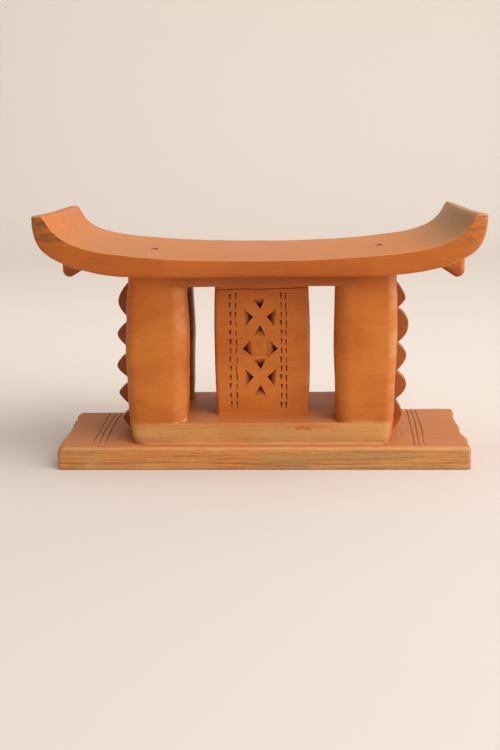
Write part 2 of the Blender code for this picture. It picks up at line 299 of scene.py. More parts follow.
class BlockPlace:
    """Where a point of the block lies, which way it faces and how the wood varies there."""

    def __init__(self, graph):
        self.graph = graph
        self.position = graph.make("ShaderNodeTexCoord", None, None, "Object")
        self.along = graph.axis(self.position, "X")
        self.across = graph.axis(self.position, "Y")
        self.height = graph.axis(self.position, "Z")
        normal = graph.make("ShaderNodeNewGeometry", None, None, "Normal")
        self.right = graph.axis(normal, "X")
        self.front = 0 - graph.axis(normal, "Y")
        self.up = graph.axis(normal, "Z")
        self.facing_up = self.up.rising(0.35, 0.85)
        self.facing_front = self.front.rising(0.45, 0.85)
        self.front_or_back = self.front * self.front
        self.outer_face = self.across.falling(PLINTH_LOW.y + 0.004, PLINTH_LOW.y + 0.007)

        self.ripple = self._noise((20.0, 60.0, 60.0), 2.0)
        self.strands = self._noise((11.0, 520.0, 520.0), 3.0, 0.62)
        self.fibres = self._noise((42.0, 1700.0, 1700.0), 2.0, 0.6)
        self.pores = self._noise((130.0, 2100.0, 2100.0), 1.0).rising(0.62, 0.72)
        self.cloud = self._noise((14.0, 20.0, 20.0), 4.0, 0.55)
        self.patches = self._noise((9.0, 30.0, 48.0), 3.0, 0.6)

        # The grain shows most on the tips and along the foot, where the block's outer layers lie
        tips = self.height.rising(SEAT_HIGH.z - 0.0367, SEAT_HIGH.z - 0.0117)
        foot = self.height.falling(BASE_HIGH.z - 0.010, PLINTH_HIGH.z + 0.002)
        self.strong_grain = tips + 0.70 * foot
        calm_tops = 1 - 0.75 * self.facing_up
        calm_ends = 0.25 + 0.75 * self.front_or_back.rising(0.20, 0.60)
        lines = self._growth_layers() * self.strands.rising(0.36, 0.62)
        self.layer_lines = lines * (0.20 + 0.80 * self.strong_grain) * calm_tops * calm_ends

    def _noise(self, stretch, detail, roughness=0.5):
        """Noise laid out in the block's own coordinates."""
        return self.graph.stretched_noise(self.position, stretch, detail, roughness)

    def _growth_layers(self):
        """Lines where the growth layers come out. They lie nearly flat: the pith is far below the block."""
        pith_y = 0.05
        pith_depth = 0.30
        lines_per_metre = 520.0
        warp = self._noise((4.0, 12.0, 12.0), 2.0)
        from_pith = ((self.across - pith_y) ** 2 + (self.height + pith_depth) ** 2) ** 0.5
        distance = from_pith + warp * 0.016 + self.ripple * 0.0022
        band = self.graph.make("ShaderNodeTexNoise", {"noise_dimensions": "1D"},
                               {"W": distance * lines_per_metre, "Scale": 1.0, "Detail": 3.0,
                                "Roughness": 0.68})
        return band.rising(0.50, 0.64)

    def dark_streaks(self):
        """Streaks on the seat's tips, and finer ones along the foot."""
        streaks = self._noise((14.0, 330.0, 330.0), 3.0, 0.66).rising(0.50, 0.59)
        hairlines = self._noise((17.0, 820.0, 820.0), 3.0, 0.70).rising(0.52, 0.62)
        tips = self.height.rising(SEAT_HIGH.z - 0.0307, SEAT_HIGH.z - 0.0127)
        tips = tips * self.front_or_back.rising(0.30, 0.70)
        foot = self.height.falling(BASE_HIGH.z - 0.006, BASE_HIGH.z + 0.004) * self.front_or_back
        return tips * streaks * 0.90 + foot * hairlines * 0.40


def stain_shade_sheen_colour(graph, at, wood):
    """The stain, gathered in clouds; painted shade on the fronts below the seat; and the faces that look up
    paler, partly dry wood and partly painted sheen.
    """
    gathered = at.cloud.rising(0.35, 0.66) * 0.75 + at.strands.rising(0.42, 0.70) * 0.20
    colour = graph.mix(gathered, tuple(wood.stain), tuple(wood.deep_stain_and_shade))
    # Painted shade under the seat's overhang: the fronts darken towards the rail and the seat
    painted_shade_below_seat = at.height.rising(RAIL_LOW.z - 0.0428, RAIL_LOW.z + 0.0072) * at.facing_front
    painted_shade_below_seat = painted_shade_below_seat * at.height.falling(SEAT_HIGH.z - 0.0297, SEAT_HIGH.z + 0.0003)
    colour = graph.mix(painted_shade_below_seat * 0.55, colour, tuple(wood.deep_stain_and_shade))
    # Paler colour on the faces that look up: partly dry wood, partly painted sheen
    dry_and_sheen = at.facing_up * (0.35 + 0.5 * at.cloud.rising(0.30, 0.66))
    return graph.mix(dry_and_sheen, colour, tuple(wood.dry_and_sheen))


def foot_colour(graph, at, wood, colour):
    """Thin stain with olive patches on the fronts of the plinth and the board."""
    front = at.facing_front * at.outer_face
    ragged_height = at.height + (at.patches - 0.5) * 0.016
    thin = ragged_height.falling(PLINTH_HIGH.z - 0.0035, PLINTH_HIGH.z + 0.0020) * front
    colour = graph.mix(thin * (0.40 + 0.45 * at.cloud.rising(0.36, 0.56)), colour, tuple(wood.bare))
    olive = at.patches.rising(0.46, 0.62) * at.height.falling(0.006, PLINTH_HIGH.z + 0.006) * front
    return graph.mix(olive * 0.50, colour, tuple(wood.olive))


def inner_shade_colour(graph, at, wood, colour):
    """Painted shade between the posts and on the rail under the seat, and the wall inside the seat's right
    end greyer and darker: partly olive wood, partly painted shade.
    """
    # Painted shade on the faces between the posts, the plinth's top less so
    inside = at.across.rising(COLUMN_LOW.y + 0.007, COLUMN_LOW.y + 0.023)
    inside = inside * at.across.falling(PLINTH_HIGH.y - 0.008, PLINTH_HIGH.y - 0.002)
    inside = inside * at.height.rising(BASE_HIGH.z + 0.001, BASE_HIGH.z + 0.010)
    inside = inside * at.height.falling(RAIL_HIGH.z - 0.0043, RAIL_HIGH.z + 0.0007)
    inside = inside * (1 - 0.65 * at.facing_up)
    # Painted shade on the rail's front under the seat
    rail = at.height.rising(RAIL_LOW.z - 0.0013, RAIL_LOW.z + 0.0002) * at.facing_front
    rail = rail * at.height.falling(RAIL_HIGH.z - 0.0008, RAIL_HIGH.z + 0.0012)
    rail = rail * (at.along * at.along).falling(0.0034, 0.0090)
    colour = graph.mix(inside * 0.50 + rail * 0.34, colour, tuple(wood.painted_inner_shade))
    # Olive tint on the wall inside the seat's right end, which looks away from the light: partly olive wood,
    # partly painted shade
    olive_and_shaded_wall = at.along.rising(SEAT_HIGH.x - 0.074, SEAT_HIGH.x - 0.024) * (1 - at.facing_front)
    olive_and_shaded_wall = olive_and_shaded_wall * at.height.rising(SEAT_HIGH.z - 0.0327, SEAT_HIGH.z - 0.0147)
    return graph.mix(olive_and_shaded_wall * 0.62, colour, tuple(wood.olive))


def grain_colour(graph, at, wood, colour):
    """The dark lines, streaks, fibres and pores of the grain."""
    fibres = at.fibres.rising(0.46, 0.78) * (0.10 + 0.34 * at.strong_grain)
    pores = at.pores * (0.20 + 0.45 * at.strong_grain)
    for share in (at.layer_lines * 0.80, at.dark_streaks(), fibres, pores):
        colour = graph.mix(share, colour, tuple(wood.layer))
    return colour


def edge_highlight_colour(graph, at, wood, colour):
    """Painted highlights: paler colour on the upper front edges and on the posts' right-hand edges, where
    the light falls.
    """
    # Painted highlight along the edges between the tops and the fronts
    arris = at.up.rising(0.22, 0.50) * at.front.rising(0.22, 0.50)
    colour = graph.mix(arris * 0.34, colour, tuple(wood.edge_highlight))
    # Painted highlight on the right-hand edges, which face the light
    highlit = (at.right * at.front).rising(0.05, 0.52)
    return graph.mix(highlit * (0.10 + 0.50 * at.patches.rising(0.40, 0.70)), colour, tuple(wood.edge_highlight))


def marked_colour(graph, at, colour, marks, tint):
    """Short ragged streaks of another colour."""
    for start, end, reach in marks:
        ragged = graph.distance_to_line(at.position, start, end) + (at.strands - 0.5) * (reach * 1.6)
        colour = graph.mix(ragged.falling(reach * 0.4, reach) * 0.75, colour, tint)
    return colour


def carved_wood(name, wood, scuffs=(), knots=()):
    """The stained wood of the whole block, laid out in the block's own coordinates.

    scuffs are (start, end, reach) of streaks where raw wood is bared, and knots of streaks that took more
    stain.
    """
    graph = FinishGraph(name)
    at = BlockPlace(graph)
    colour = stain_shade_sheen_colour(graph, at, wood)
    for layer in (foot_colour, inner_shade_colour, grain_colour, edge_highlight_colour):
        colour = layer(graph, at, wood, colour)
    colour = marked_colour(graph, at, colour, scuffs, tuple(wood.raw))
    colour = marked_colour(graph, at, colour, knots, tuple(wood.deep_stain_and_shade))
    roughness = (wood.roughness + 0.20 * (at.fibres - 0.5) + 0.16 * (at.cloud - 0.5)
                 + 0.12 * at.layer_lines + 0.18 * at.facing_up)
    relief = (0.50 * at.strands + 0.45 * at.fibres - 0.7 * at.pores - 0.35 * at.layer_lines
              + 0.8 * at.ripple)
    bump = graph.make("ShaderNodeBump", None, {"Strength": 0.50, "Distance": 0.00035, "Height": relief})
    graph.finish("ShaderNodeBsdfPrincipled",
                 {"Base Color": colour, "Roughness": roughness, "Normal": bump, "IOR": 1.47,
                  "Specular IOR Level": wood.gloss, "Coat Weight": wood.wax, "Coat Roughness": 0.24})
    return graph.material


def cut_wood(name, colour, mouth=None, depths=(0.0, 1.0)):
    """The floor of a cut: torn fibres, in a colour darker than the wood round it.

    A cut into the front can start with the colour mouth at depths[0] and darken up to depths[1].
    """
    graph = FinishGraph(name)
    place = graph.make("ShaderNodeTexCoord", None, None, "Object")
    torn = graph.stretched_noise(place, (180.0, 900.0, 900.0), 3.0, 0.65)
    dark = tuple(channel * 0.45 for channel in colour[:3]) + (1.0,)
    shade = graph.mix(torn.rising(0.38, 0.66), tuple(colour), dark)
    if mouth:
        depth = (graph.axis(place, "Y") + (torn - 0.5) * 0.0016).rising(*depths)
        shade = graph.mix(depth, tuple(mouth), shade)
    bump = graph.make("ShaderNodeBump", None, {"Strength": 0.6, "Distance": 0.0005, "Height": torn})
    graph.finish("ShaderNodeBsdfPrincipled",
                 {"Base Color": shade, "Roughness": 0.55 + 0.3 * torn, "Normal": bump})
    return graph.material


def curve_through(points, steps):
    """Points on a smooth curve that passes through every given point, however they are spaced."""
    knots = [Vector(point) for point in points]
    knots.insert(0, 2 * knots[0] - knots[1])
    knots.append(2 * knots[-1] - knots[-2])
    result = []
    for before, start, end, after in zip(knots, knots[1:], knots[2:], knots[3:]):
        entry = (start - before).length ** 0.5
        span = (end - start).length ** 0.5
        leave = (after - end).length ** 0.5
        middle = (end - start) / span
        start_slope = ((start - before) / entry - (end - before) / (entry + span) + middle) * span
        end_slope = (middle - (after - start) / (span + leave) + (after - end) / leave) * span
        for step in range(steps):
            t = step / steps
            result.append((2 * t ** 3 - 3 * t ** 2 + 1) * start + (t ** 3 - 2 * t ** 2 + t) * start_slope
                          + (3 * t ** 2 - 2 * t ** 3) * end + (t ** 3 - t ** 2) * end_slope)
    result.append(knots[-2])
    return result


def evenly_along(points, count):
    """count + 1 points at even distances along a line of points."""
    lengths = [0.0]
    for start, end in zip(points, points[1:]):
        lengths.append(lengths[-1] + (end - start).length)
    result = []
    segment = 0
    for step in range(count + 1):
        target = lengths[-1] * step / count
        while segment < len(points) - 2 and lengths[segment + 1] < target:
            segment += 1
        share = (target - lengths[segment]) / (lengths[segment + 1] - lengths[segment])
        result.append(points[segment].lerp(points[segment + 1], min(share, 1.0)))
    return result


def new_piece(name, points, faces):
    """A smooth-shaded closed mesh with its faces pointing out."""
    mesh = bpy.data.meshes.new(name)
    mesh.from_pydata([tuple(point) for point in points], [], faces)
    builder = bmesh.new()
    builder.from_mesh(mesh)
    bmesh.ops.recalc_face_normals(builder, faces=builder.faces)
    builder.to_mesh(mesh)
    builder.free()
    mesh.shade_smooth()
    piece = bpy.data.objects.new(name, mesh)
    bpy.context.scene.collection.objects.link(piece)
    return piece


def loft_faces(ring_count, ring_size):
    """Side faces between neighbouring rings of one size."""
    faces = []
    for ring in range(ring_count - 1):
        for index in range(ring_size):
            following = (index + 1) % ring_size
            start = ring * ring_size
            faces.append((start + index, start + following,
                          start + ring_size + following, start + ring_size + index))
    return faces


def loft(name, rings):
    """Join rings of equal length into a closed piece with flat ends."""
    size = len(rings[0])
    faces = loft_faces(len(rings), size)
    faces.append(tuple(range(size)))
    faces.append(tuple(range((len(rings) - 1) * size, len(rings) * size)))
    return new_piece(name, [point for ring in rings for point in ring], faces)


def side_positions(low, high, low_radius, high_radius, spacing):
    """Grid lines along one side of a block, closer together over its rounded edges."""
    shares = [step / ROUNDING_STEPS for step in range(ROUNDING_STEPS)]
    straight = high - low - low_radius - high_radius
    count = max(1, round(straight / spacing))
    positions = [low + low_radius * share for share in shares]
    positions += [low + low_radius + straight * step / count for step in range(count + 1)]
    return positions + [high - high_radius * share for share in reversed(shares)]


def round_off(point, low, high, radii):
    """Move a point on a block's face onto the block's rounded edge."""
    inner = Vector([min(max(point[a], low[a] + radii[a][0]), high[a] - radii[a][1]) for a in range(3)])
    reach = [radii[a][1] if point[a] > inner[a] else radii[a][0] for a in range(3)]
    outward = Vector([(point[a] - inner[a]) / reach[a] for a in range(3)])
    outward.normalize()
    return inner + Vector([outward[a] * reach[a] for a in range(3)])


def rounded_block(name, low, high, radii, spacing):
    """A closed block with gridded faces.

    radii are how far its rounding reaches at the low and at the high end of each axis.
    """
    lines = [side_positions(low[a], high[a], *radii[a], spacing) for a in range(3)]
    counts = [len(line) - 1 for line in lines]
    number = {}
    points = []

    def corner(key):
        if key not in number:
            number[key] = len(points)
            points.append(round_off([lines[a][key[a]] for a in range(3)], low, high, radii))
        return number[key]

    faces = []
    for axis in range(3):
        first = (axis + 1) % 3
        second = (axis + 2) % 3
        for end in (0, counts[axis]):
            for i in range(counts[first]):
                for j in range(counts[second]):
                    keys = []
                    for step_i, step_j in ((0, 0), (1, 0), (1, 1), (0, 1)):
                        key = [0, 0, 0]
                        key[axis] = end
                        key[first] = i + step_i
                        key[second] = j + step_j
                        keys.append(corner(tuple(key)))
                    faces.append(keys)
    return new_piece(name, points, faces)


def reshape(piece, rule):
    """Move each vertex to where rule(place, normal) puts it."""
    normals = [vertex.normal.copy() for vertex in piece.data.vertices]
    for vertex, normal in zip(piece.data.vertices, normals):
        vertex.co = rule(vertex.co.copy(), normal)
    piece.data.update()


def wave(place, size, seed):
    """Smooth noise from -1 to 1 with hills about as wide as size."""
    return noise.noise(place / size + Vector((seed, seed * 0.7, seed * 0.3)))


def hand_work(place, normal, amount, seed):
    """The slight waves that a blade leaves on a face that was meant to be flat."""
    broad = 0.032
    narrow = 0.011
    return place + normal * amount * (wave(place, broad, seed) + 0.35 * wave(place, narrow, seed + 5.0))


def sharpen(piece):
    """Shade a piece smooth between its sharp edges."""
    piece.data.shade_smooth()
    piece.data.set_sharp_from_angle(angle=SHARP_ANGLE)


def cut(piece, cutter):
    """Cut closed bodies out of a piece. The cut faces take the cutter's material."""
    boolean = piece.modifiers.new("cut", "BOOLEAN")
    boolean.operation = "DIFFERENCE"
    boolean.solver = "EXACT"
    boolean.material_mode = "TRANSFER"
    boolean.object = cutter
    carved = bpy.data.meshes.new_from_object(piece.evaluated_get(bpy.context.evaluated_depsgraph_get()))
    if len(carved.polygons) < len(piece.data.polygons) / 2:
        raise RuntimeError("the cut took away most of " + piece.name)
    piece.modifiers.clear()
    piece.data = carved
    sharpen(piece)
    bpy.data.objects.remove(cutter, do_unlink=True)


def cutter_from(builder, material):
    """An object out of closed bodies, for cut."""
    bmesh.ops.recalc_face_normals(builder, faces=builder.faces)
    mesh = bpy.data.meshes.new("cutter")
    builder.to_mesh(mesh)
    builder.free()
    mesh.materials.append(material)
    cutter = bpy.data.objects.new("cutter", mesh)
    bpy.context.scene.collection.objects.link(cutter)
    return cutter


def add_body(builder, points, faces):
    """Add a closed body. faces are tuples of indices into points."""
    vertices = [builder.verts.new(point) for point in points]
    for face in faces:
        builder.faces.new([vertices[index] for index in face])


def strip_cutter(sections, material):
    """A cutter through triangular cross-sections, for a line that is scratched into a face."""
    builder = bmesh.new()
    points = [point for section in sections for point in section]
    last = len(points) - 3
    faces = loft_faces(len(sections), 3) + [(0, 1, 2), (last, last + 1, last + 2)]
    add_body(builder, points, faces)
    return cutter_from(builder, material)


def finish_piece(piece, node, material=None):
    """Put a piece in its node's place. A piece that has been cut already has its materials."""
    if material:
        piece.data.materials.append(material)
    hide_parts(node)
    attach(piece, "root")


def add_wedge(builder, to_block, flat, point, width, depth):
    """A wedge for a triangular pocket: shallow along its flat side, deepest at its point.

    flat and point are places on the face, and to_block(u, v, depth) turns them into block coordinates.
    """
    proud = 0.0020
    lip = 0.0003
    flat = Vector(flat)
    point = Vector(point)
    along = (point - flat).normalized()
    sideways = Vector((-along.y, along.x)) * width / 2
    first = flat + sideways
    second = flat - sideways
    points = [to_block(*first, -proud), to_block(*second, -proud), to_block(*point, -proud),
              to_block(*first, lip), to_block(*second, lip), to_block(*point, depth)]
    add_body(builder, points, ((0, 1, 2), (3, 5, 4), (0, 3, 4, 1), (1, 4, 5, 2), (2, 5, 3, 0)))


def layered_noise(seed, y, z):
    """Coarse, middling and fine noise over a board's end, for wood that has split along its layers."""
    sizes = ((0.030, 0.05), (0.013, 0.014), (0.0045, 0.0035))
    return [noise.noise(Vector((seed + 4.0 * index, y / size_y, z / size_z)))
            for index, (size_y, size_z) in enumerate(sizes)]


def build_base_board(carving, wood):
    """A flat board with split, ragged ends and three grooves near each end."""
    radii = ((0.0030, 0.0030), (0.0042, 0.0042), (0.0009, 0.0042))
    board = rounded_block("base_board_wood", BASE_LOW, BASE_HIGH, radii, carving.spacing)
    ragged_reach = 0.012
    calm_reach = 0.022
    chipped_corner = Vector((BASE_LOW.x, BASE_LOW.y, BASE_HIGH.z))
    chip_facing = Vector((-0.72, -0.30, 0.62)).normalized()
    chip_depth = 0.0042
    flat_underside = 0.0005

    def rule(place, normal):
        side = 1 if place.x > 0 else -1
        end_share = max(0.0, (abs(place.x) - (BASE_HIGH.x - ragged_reach)) / ragged_reach)
        coarse, middling, fine = layered_noise(6.0 + side * 3.0, place.y, place.z)
        bite = 0.0012 + 0.0034 * coarse + 0.0019 * middling + 0.0007 * fine
        calm_front = min(1.0, 0.10 + (place.y - BASE_LOW.y) / calm_reach)
        place.x -= side * bite * calm_front * end_share ** 2
        back = (place.y - BASE_LOW.y) / (BASE_HIGH.y - BASE_LOW.y)
        place.y -= back * BACK_EDGE_SKEW * (BASE_HIGH.x - place.x) / (BASE_HIGH.x - BASE_LOW.x)
        worked = hand_work(place, normal, carving.unevenness * 1.5, seed=2.0)
        worked.z = max(worked.z, BASE_LOW.z) if place.z > flat_underside else place.z
        proud = (worked - chipped_corner).dot(chip_facing) + chip_depth + 0.0006 * middling
        if proud > 0:
            worked -= chip_facing * proud
        for axis in (0, 1):
            worked[axis] = min(max(worked[axis], BASE_LOW[axis]), BASE_HIGH[axis])
        return worked

    reshape(board, rule)
    scuffs = (((BASE_HIGH.x - 0.0008, BASE_LOW.y + 0.009, BASE_HIGH.z - 0.0030),
               (BASE_HIGH.x - 0.0006, BASE_LOW.y + 0.003, BASE_HIGH.z - 0.0085), 0.0024),)
    board_wood = carved_wood("base_board_wood", wood, scuffs=scuffs)
    board.data.materials.append(board_wood)
    groove_wood = cut_wood("base_groove", wood.groove)
    for side, innermost, pitch, lean, bow in BASE_GROOVES:
        for line in range(3):
            start_x = side * (innermost + pitch * line)
            cut(board, groove_cutter(carving, start_x, lean - 0.0004 * line, bow, line, groove_wood))
    for start, end, width in BASE_GOUGES:
        cut(board, gouge_cutter(Vector(start), Vector(end), width, board_wood))
    finish_piece(board, "base_board")


def scratch_section(x, y, width, depth):
    """A triangle across a scratch in the board's top, as wide as the scratch where it meets the face."""
    half_width = width / 2 * (1 + CUTTER_LIFT / depth)
    above = BASE_HIGH.z + CUTTER_LIFT
    return (x - half_width, y, above), (x + half_width, y, above), (x, y, BASE_HIGH.z - depth)


def groove_cutter(carving, start_x, lean, bow, line, material):
    """A knife line across the board, which fades out towards the front edge."""
    stations = 24
    front = BASE_LOW.y + 0.0010 + 0.0012 * line
    length = BASE_HIGH.y + 0.004 - BASE_LOW.y
    sections = []
    for station in range(stations + 1):
        share = station / stations
        wobble = 0.0003 * sin(9 * share + line * 2)
        x = start_x + lean * share + bow * sin(pi * share) + wobble
        width = carving.groove_width * min(1.0, 0.42 + share * 5.0)
        sections.append(scratch_section(x, front + length * share, width, width * 0.55))
    return strip_cutter(sections, material)


def gouge_cutter(start, end, width, material):
    """A short shallow scoop in the board's top, tapering at both ends."""
    stations = 10
    sections = []
    for station in range(stations + 1):
        share = station / stations
        place = start.lerp(end, share)
        tapered = width * (0.12 + 0.88 * sin(pi * share))
        sections.append(scratch_section(place.x, place.y, tapered, tapered * 0.28))
    return strip_cutter(sections, material)


def build_plinth(carving, wood):
    """The step that joins the posts' feet."""
    set_back = 0.00012
    narrowing = 0.0045
    low = Vector((PLINTH_LOW.x + narrowing, PLINTH_LOW.y + set_back, BASE_HIGH.z - EMBED))
    high = Vector((PLINTH_HIGH.x - narrowing, PLINTH_HIGH.y - set_back, PLINTH_HIGH.z))
    corner = carving.post_rounding * 0.9
    arris = 0.0012
    plinth = loft("plinth_wood", block_rings(low, high, (corner,) * 4, arris, carving.spacing))
    foot_height = 0.0015
    foot_spread = 0.0010

    def rule(place, normal):
        calm = 0.4 if abs(normal.y) > 0.7 else 1.0
        worked = hand_work(place, normal, carving.unevenness * calm, seed=6.0)
        foot = max(0.0, 1 - (place.z - BASE_HIGH.z) / foot_height)
        worked.y += foot_spread * foot ** 2 * normal.y
        return worked

    reshape(plinth, rule)
    knots = (((0.0285, low.y, 0.0334), (0.0335, low.y, 0.0345), 0.0017),
             ((0.0335, low.y, 0.0345), (0.0395, low.y, 0.0329), 0.0014))
    finish_piece(plinth, "plinth", carved_wood("plinth_wood", wood, knots=knots))


def plan_counts(low, high, spacing):
    """How many steps a plan takes along X and along Y between its corners."""
    return max(2, round((high[0] - low[0]) / spacing)), max(2, round((high[1] - low[1]) / spacing))


def plan_loop(low, high, radii, counts):
    """A rounded rectangle. radii go round its corners from (high, high) to (high, low)."""
    signs = ((1, 1), (-1, 1), (-1, -1), (1, -1))
    arcs = []
    for index, ((sign_x, sign_y), radius) in enumerate(zip(signs, radii)):
        centre = Vector((high[0] - radius if sign_x > 0 else low[0] + radius,
                         high[1] - radius if sign_y > 0 else low[1] + radius))
        start = index * pi / 2
        arcs.append([centre + radius * Vector((cos(start + pi / 2 * step / CORNER_STEPS),
                                               sin(start + pi / 2 * step / CORNER_STEPS)))
                     for step in range(CORNER_STEPS + 1)])
    loop = []
    for index, arc in enumerate(arcs):
        count = counts[index % 2]
        following = arcs[(index + 1) % 4][0]
        loop += arc
        loop += [arc[-1].lerp(following, step / count) for step in range(1, count)]
    return loop


def block_rings(low, high, radii, arris, spacing):
    """Rings of an upright block with rounded upright edges and a softened arris at its top and bottom."""
    counts = plan_counts(low, high, spacing)
    straight = max(2, round((high.z - low.z) / spacing))
    softened = [(low.z + arris * (1 - cos(angle)), arris * (1 - sin(angle)))
                for angle in (0.0, pi / 6, pi / 3)]
    levels = softened + [(low.z + arris + (high.z - low.z - 2 * arris) * step / straight, 0.0)
                         for step in range(straight + 1)]
    levels += [(high.z - (z - low.z), inset) for z, inset in reversed(softened)]
    rings = []
    for z, inset in levels:
        plan = plan_loop((low.x + inset, low.y + inset), (high.x - inset, high.y - inset),
                         [radius - inset for radius in radii], counts)
        rings.append([Vector((point.x, point.y, z)) for point in plan])
    return rings


def along_table(table, position):
    """Read a value out of (position, value) pairs, eased between them and held past the ends."""
    for (start, first), (end, second) in zip(table, table[1:]):
        if position <= end or end == table[-1][0]:
            share = min(max((position - start) / (end - start), 0.0), 1.0)
            share = share * share * (3 - 2 * share)
            return first + (second - first) * share
    raise ValueError("the table has fewer than two rows")


def build_post(name, side_name, is_front, carving, wood):
    """A barrel-sided post that runs, flush with the plinth and the rail, from the base to the seat."""
    side = -1 if side_name == "left" else 1
    low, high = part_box(name)
    foot = BASE_HIGH.z - EMBED
    head = SEAT_LOW.z + EMBED
    post = loft(name + "_wood", post_rings(low, high, foot, head, side_name, is_front, carving))
    seed = 11.0 + side + (3.0 if is_front else 0.0)
    middle_x = (low.x + high.x) / 2
    half_width = (high.x - low.x) / 2
    face_y = low.y if is_front else high.y
    inwards = 1 if is_front else -1
    crown = 0.0020
    crown_reach = 0.012
    fillet_height = 0.004
    fillet = 0.0014

    def rule(place, normal):
        share = (place.z - foot) / (head - foot)
        calm = min(1.0, 6 * share, 6 * (1 - share))
        across = min(abs(place.x - middle_x) / half_width, 1.0)
        on_face = max(0.0, 1 - abs(place.y - face_y) / crown_reach)
        place.y += inwards * crown * across ** 2 * on_face * calm
        shoulder = min(abs(place.z - PLINTH_HIGH.z), abs(place.z - RAIL_LOW.z))
        near_shoulder = max(0.0, 1 - shoulder / fillet_height) ** 2
        place.x -= side * fillet * near_shoulder * max(0.0, -side * normal.x)
        return hand_work(place, normal, carving.unevenness * 1.4 * calm, seed)

    reshape(post, rule)
    scuffs = ()
    if name == "post_front_left":
        bend = (-0.0735, low.y + 0.0028, 0.0368)
        scuffs = (((-0.0805, low.y + 0.0005, 0.0354), bend, 0.0021),
                  (bend, (-0.0675, low.y + 0.0080, 0.0394), 0.0026))
    finish_piece(post, name, carved_wood(name + "_wood", wood, scuffs=scuffs))


def post_rings(low, high, foot, head, side_name, is_front, carving):
    """Plans of a post from its foot to its head. Its edges are rounder on the face that shows."""
    levels = 76
    side = -1 if side_name == "left" else 1
    outer_side, inner_side = POST_SIDES[side_name]
    set_in = 0.0 if is_front else BACK_SET_IN[side_name]
    outer_radius = carving.post_rounding * 0.85
    inner_radius = carving.post_rounding * 1.25
    hidden_radius = carving.post_rounding * 0.6
    shown_radii = (outer_radius, inner_radius) if side < 0 else (inner_radius, outer_radius)
    if is_front:
        radii = (hidden_radius, hidden_radius, *shown_radii)
    else:
        radii = (*reversed(shown_radii), hidden_radius, hidden_radius)
    counts = plan_counts(low, high, carving.spacing)
    rings = []
    for level in range(levels + 1):
        z = foot + (head - foot) * level / levels
        outer = side * along_table(outer_side, z - BASE_HIGH.z)
        inner = side * (along_table(inner_side, z - BASE_HIGH.z) + set_in)
        plan = plan_loop((min(outer, inner), low.y), (max(outer, inner), high.y), radii, counts)
        rings.append([Vector((point.x, point.y, z)) for point in plan])
    return rings


def build_posts(carving, wood):
    """Two posts in front and two at the back."""
    for row, is_front in (("front", True), ("back", False)):
        for side_name in ("left", "right"):
            build_post("post_%s_%s" % (row, side_name), side_name, is_front, carving, wood)


def on_column(u, v, depth):
    """A point in block coordinates from its place on the column's front and its depth in it."""
    return (u, COLUMN_LOW.y + depth, v)


def carve_column_pattern(column, carving, wood):
    """Ten triangular pockets, a sunk square among them, and four upright rows of chisel nicks."""
    draw = random.Random(4)
    depth = carving.pocket_depth
    floor_depths = (COLUMN_LOW.y + 0.0004, COLUMN_LOW.y + 0.0042)
    pocket_wood = cut_wood("column_pocket", wood.pocket, wood.deep_stain_and_shade, floor_depths)
    for centre_z in STAR_HEIGHTS:
        builder = bmesh.new()
        for side in (-1, 1):
            wander = draw.uniform(-0.0006, 0.0006)
            add_wedge(builder, on_column, (PATTERN_X + wander, centre_z + side * 0.0160),
                      (PATTERN_X - wander, centre_z + side * 0.0070), 0.0104, depth)
            add_wedge(builder, on_column, (PATTERN_X + side * 0.0130, centre_z + wander),
                      (PATTERN_X + side * 0.0057, centre_z - wander), 0.0148, depth)
        cut(column, cutter_from(builder, pocket_wood))
    builder = bmesh.new()
    for side in (-1, 1):
        add_wedge(builder, on_column, (PATTERN_X + side * 0.0077, SQUARE_HEIGHT),
                  (PATTERN_X + side * 0.0152, SQUARE_HEIGHT - 0.0006), 0.0142, depth)
    cut(column, cutter_from(builder, pocket_wood))
    cut(column, sunk_square_cutter(PATTERN_X, SQUARE_HEIGHT, column.data.materials[0]))
    nick_wood = cut_wood("column_nick", wood.nick)
    for row_x, top_width, length in NICK_ROWS:
        cut(column, nick_row_cutter(draw, row_x, top_width, length, carving.nick_depth, nick_wood))


def sunk_square_cutter(centre_x, centre_z, material):
    """A shallow square recess with a slanted upper edge that catches the light."""
    half_width = 0.0071
    sunk = 0.0011
    proud = 0.0010
    profile = ((0.0096, -proud), (0.0096, 0.0), (0.0046, sunk), (-0.0080, sunk), (-0.0087, 0.0),
               (-0.0087, -proud))
    points = [on_column(centre_x + side * half_width, centre_z + v, depth)
              for side in (-1, 1) for v, depth in profile]
    size = len(profile)
    builder = bmesh.new()
    faces = loft_faces(2, size) + [tuple(range(size)), tuple(range(size, 2 * size))]
    add_body(builder, points, faces)
    return cutter_from(builder, material)


def nick_row_cutter(draw, row_x, top_width, mean_length, mean_depth, material):
    """An upright row of chisel marks that taper downwards."""
    builder = bmesh.new()
    count = 13
    pitch = 0.00787
    top = COLUMN_HIGH.z - 0.0092
    slant = 0.0002
    half_foot = 0.00035
    proud = 0.0015
    for index in range(count):
        z = top - pitch * index + draw.uniform(-0.0006, 0.0006)
        x = row_x + draw.uniform(-0.0003, 0.0003)
        tilt = draw.uniform(-0.0004, 0.0004)
        length = mean_length * draw.uniform(0.86, 1.12)
        half_top = top_width / 2 * draw.uniform(0.7, 1.15)
        depth = mean_depth * draw.uniform(0.7, 1.2)
        outline = ((x - half_top, z), (x + half_top, z + slant), (x + half_foot + tilt, z - length),
                   (x - half_foot + tilt, z - length + slant))
        middle = Vector((x + tilt / 2, z - length / 2))
        points = [on_column(u, v, -proud) for u, v in outline]
        points += [on_column(*Vector(corner).lerp(middle, 0.35), depth) for corner in outline]
        add_body(builder, points, loft_faces(2, 4) + [(0, 1, 2, 3), (4, 5, 6, 7)])
    return cutter_from(builder, material)


